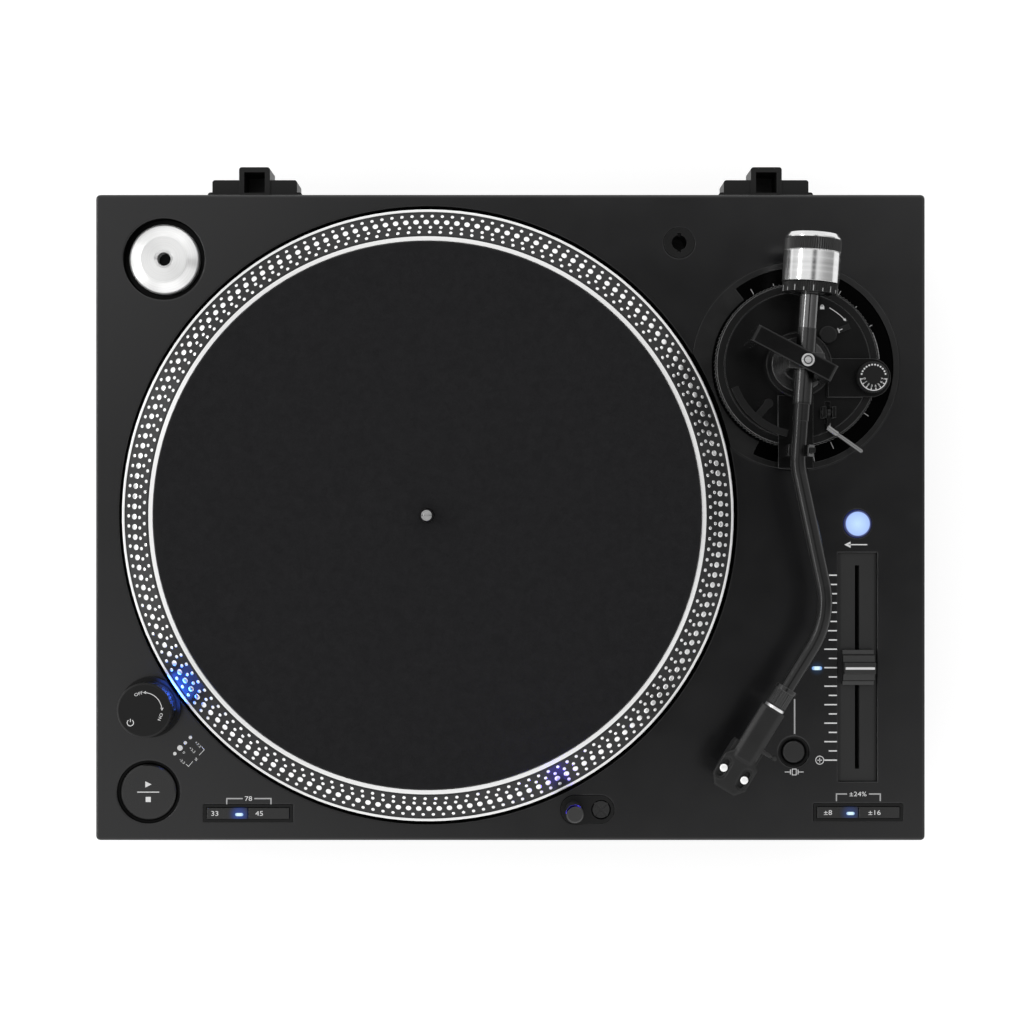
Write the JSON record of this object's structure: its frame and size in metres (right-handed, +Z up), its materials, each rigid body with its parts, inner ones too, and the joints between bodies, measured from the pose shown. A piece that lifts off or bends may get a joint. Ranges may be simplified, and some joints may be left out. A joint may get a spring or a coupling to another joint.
{
  "type": "dj turntable",
  "caption": "Black direct-drive DJ turntable with a strobe-dotted platter, S-shaped tonearm, pitch slider, push controls and levelling feet.",
  "frame": {"origin": "on the table, under the middle of the whole box", "axes": "+X to the right, +Y to the rear, +Z up; the controls face the front, -Y"},
  "size_m": [0.452, 0.369, 0.1491],
  "materials": {
    "black_cabinet": "die-cast, painted satin black",
    "black_base": "moulded dense black base",
    "black_plastic": "fine matte black",
    "gloss_black": "smooth black button caps",
    "foot_rubber": "matte black rubber",
    "turned_aluminium": "bright turned aluminium",
    "felt": "black felt",
    "steel": "plain ground steel",
    "copper_coil": "wound copper wire on a plate",
    "board": "green circuit board",
    "lit_cap": "translucent cap lit blue-white",
    "black_metal": "black anodised",
    "dark_chrome": "polished dark metal",
    "white_print": "printed white marks",
    "plug_metal": "nickel-plated contacts"
  },
  "bodies": {
    "chassis": {"deck": "black_cabinet", "base_pan": "black_base", "base_screws": "steel", "hinge_socket_left": "black_plastic", "hinge_socket_right": "black_plastic", "motor_stator": "copper_coil", "spindle_bearing": "steel", "main_board": "board", "power_transformer": "steel", "switch_boards": "board", "button_frames": "black_plastic", "jack_panel": "black_plastic", "power_inlet": "black_plastic", "strobe_tower": "black_plastic", "strobe_lens": "lit_cap", "pitch_panel": "black_plastic", "pitch_fader": "steel", "lamp_bezel": "black_plastic", "headshell_holder": "black_plastic", "arm_base": "black_metal"},
    "platter_unit": {"platter": "turned_aluminium", "slipmat": "felt", "spindle": "steel", "rotor": "steel"},
    "adaptor": {"adaptor_45": "turned_aluminium"},
    "start_key": {"start_stop_button": "gloss_black"},
    "power_dial": {"power_knob": "black_plastic"},
    "speed_33_key": {"button_33": "gloss_black"},
    "speed_45_key": {"button_45": "gloss_black"},
    "range_low_key": {"button_range_low": "gloss_black"},
    "range_high_key": {"button_range_high": "gloss_black"},
    "quartz_key": {"quartz_button": "gloss_black"},
    "reverse_key": {"reverse_button": "lit_cap"},
    "pitch_slider": {"pitch_knob": "black_plastic"},
    "lamp": {"target_lamp": "black_plastic"},
    "lamp_key": {"target_button": "black_plastic"},
    "foot_fl": {"foot_front_left": "foot_rubber"},
    "foot_fr": {"foot_front_right": "foot_rubber"},
    "foot_rl": {"foot_rear_left": "foot_rubber"},
    "foot_rr": {"foot_rear_right": "foot_rubber"},
    "height_dial": {"height_ring": "black_metal"},
    "arm_mount": {"arm_platform": "black_metal", "pivot_housing": "black_metal", "pivot_bridge": "black_metal", "pivot_screw": "steel", "arm_rest": "black_plastic"},
    "arm_yoke": {"gimbal": "dark_chrome"},
    "arm": {"arm_tube": "black_metal", "rear_stub": "dark_chrome"},
    "weight": {"counterweight": "turned_aluminium"},
    "force_scale": {"force_dial": "black_plastic"},
    "collar": {"locking_collar": "black_metal"},
    "shell": {"headshell": "black_metal", "cartridge": "black_plastic", "stylus": "steel"},
    "clip": {"arm_clip": "black_plastic"},
    "cue": {"cue_lever": "black_metal"},
    "lift": {"lift_platform": "black_plastic"},
    "skate": {"anti_skate_dial": "black_plastic"},
    "lock": {"height_lock": "black_plastic"}
  },
  "joints": [
    {"name": "platter_spin", "type": "hinge", "parent": "chassis", "child": "platter_unit", "pos_m": [-0.0448, -0.0073, 0.094], "axis": [0, 0, -1], "continuous": true},
    {"name": "adaptor_lift", "type": "slide", "parent": "chassis", "child": "adaptor", "axis": [0, 0, 1], "range_m": [0, 0.06]},
    {"name": "start_press", "type": "slide", "parent": "chassis", "child": "start_key", "axis": [0, 0, 1], "range_m": [-0.0025, 0], "stiffness_N_per_m": 200, "springref_m": 0.001},
    {"name": "power_turn", "type": "hinge", "parent": "chassis", "child": "power_dial", "pos_m": [-0.196, -0.1117, 0.111], "axis": [0, 0, -1], "range_deg": [0, 60]},
    {"name": "speed_33_press", "type": "slide", "parent": "chassis", "child": "speed_33_key", "axis": [0, 0, 1], "range_m": [-0.0015, 0], "stiffness_N_per_m": 200, "springref_m": 0.001},
    {"name": "speed_45_press", "type": "slide", "parent": "chassis", "child": "speed_45_key", "axis": [0, 0, 1], "range_m": [-0.0015, 0], "stiffness_N_per_m": 200, "springref_m": 0.001},
    {"name": "range_low_press", "type": "slide", "parent": "chassis", "child": "range_low_key", "axis": [0, 0, 1], "range_m": [-0.0015, 0], "stiffness_N_per_m": 200, "springref_m": 0.001},
    {"name": "range_high_press", "type": "slide", "parent": "chassis", "child": "range_high_key", "axis": [0, 0, 1], "range_m": [-0.0015, 0], "stiffness_N_per_m": 200, "springref_m": 0.001},
    {"name": "quartz_press", "type": "slide", "parent": "chassis", "child": "quartz_key", "axis": [0, 0, 1], "range_m": [-0.0015, 0], "stiffness_N_per_m": 200, "springref_m": 0.001},
    {"name": "reverse_press", "type": "slide", "parent": "chassis", "child": "reverse_key", "axis": [0, 0, 1], "range_m": [-0.0015, 0], "stiffness_N_per_m": 200, "springref_m": 0.001},
    {"name": "pitch_slide", "type": "slide", "parent": "chassis", "child": "pitch_slider", "axis": [0, -1, 0], "range_m": [-0.05, 0.05]},
    {"name": "lamp_pop", "type": "slide", "parent": "chassis", "child": "lamp", "axis": [0, 0, 1], "range_m": [-0.02, 0], "stiffness_N_per_m": 60, "springref_m": 0.01},
    {"name": "lamp_press", "type": "slide", "parent": "chassis", "child": "lamp_key", "axis": [0, 0, 1], "range_m": [-0.002, 0], "stiffness_N_per_m": 200, "springref_m": 0.001},
    {"name": "foot_fl_level", "type": "slide", "parent": "chassis", "child": "foot_fl", "axis": [0, 0, 1], "range_m": [-0.008, 0]},
    {"name": "foot_fr_level", "type": "slide", "parent": "chassis", "child": "foot_fr", "axis": [0, 0, 1], "range_m": [-0.008, 0]},
    {"name": "foot_rl_level", "type": "slide", "parent": "chassis", "child": "foot_rl", "axis": [0, 0, 1], "range_m": [-0.008, 0]},
    {"name": "foot_rr_level", "type": "slide", "parent": "chassis", "child": "foot_rr", "axis": [0, 0, 1], "range_m": [-0.008, 0]},
    {"name": "height_turn", "type": "hinge", "parent": "chassis", "child": "height_dial", "pos_m": [0.15542, 0.074, 0.094], "axis": [0, 0, 1], "range_deg": [0, 270]},
    {"name": "height_rise", "type": "slide", "parent": "chassis", "child": "arm_mount", "axis": [0, 0, 1], "range_m": [0, 0.006]},
    {"name": "arm_swing", "type": "hinge", "parent": "arm_mount", "child": "arm_yoke", "pos_m": [0.15542, 0.074, 0.132], "axis": [0, 0, -1], "range_deg": [0, 46]},
    {"name": "arm_tilt", "type": "hinge", "parent": "arm_yoke", "child": "arm", "pos_m": [0.15542, 0.074, 0.132], "axis": [-0.9976, 0.0698, 0], "range_deg": [0, 12]},
    {"name": "weight_turn", "type": "hinge", "parent": "arm", "child": "weight", "pos_m": [0.15542, 0.074, 0.132], "axis": [-0.0698, -0.9976, 0], "continuous": true},
    {"name": "force_dial_turn", "type": "hinge", "parent": "weight", "child": "force_scale", "pos_m": [0.15542, 0.074, 0.132], "axis": [-0.0698, -0.9976, 0], "continuous": true},
    {"name": "collar_turn", "type": "hinge", "parent": "arm", "child": "collar", "pos_m": [0.14597, -0.09827, 0.132], "axis": [-0.524, -0.8517, 0], "range_deg": [0, 60]},
    {"name": "headshell_pull", "type": "slide", "parent": "arm", "child": "shell", "axis": [-0.524, -0.8517, 0], "range_m": [0, 0.02]},
    {"name": "clip_close", "type": "hinge", "parent": "arm_mount", "child": "clip", "pos_m": [0.15793, 0.02671, 0.1385], "axis": [-0.0698, -0.9976, 0], "range_deg": [0, 90]},
    {"name": "cue_turn", "type": "hinge", "parent": "arm_mount", "child": "cue", "pos_m": [0.17162, 0.0483, 0.1064], "axis": [-1, 0, 0], "range_deg": [0, 60]},
    {"name": "cue_lift", "type": "slide", "parent": "arm_mount", "child": "lift", "axis": [0, 0, 1], "range_m": [0, 0.002]},
    {"name": "skate_turn", "type": "hinge", "parent": "arm_mount", "child": "skate", "pos_m": [0.19462, 0.0669, 0.109], "axis": [0, 0, -1], "range_deg": [0, 270]},
    {"name": "lock_turn", "type": "hinge", "parent": "arm_mount", "child": "lock", "pos_m": [0.17152, 0.0902, 0.104], "axis": [0, 0, 1], "range_deg": [0, 50]}
  ],
  "couplings": [
    {"joint": "height_rise", "follows": "height_turn", "m_per_rad": 0.0012732},
    {"joint": "cue_turn", "follows": "cue_lift", "rad_per_m": 523.59}
  ]
}
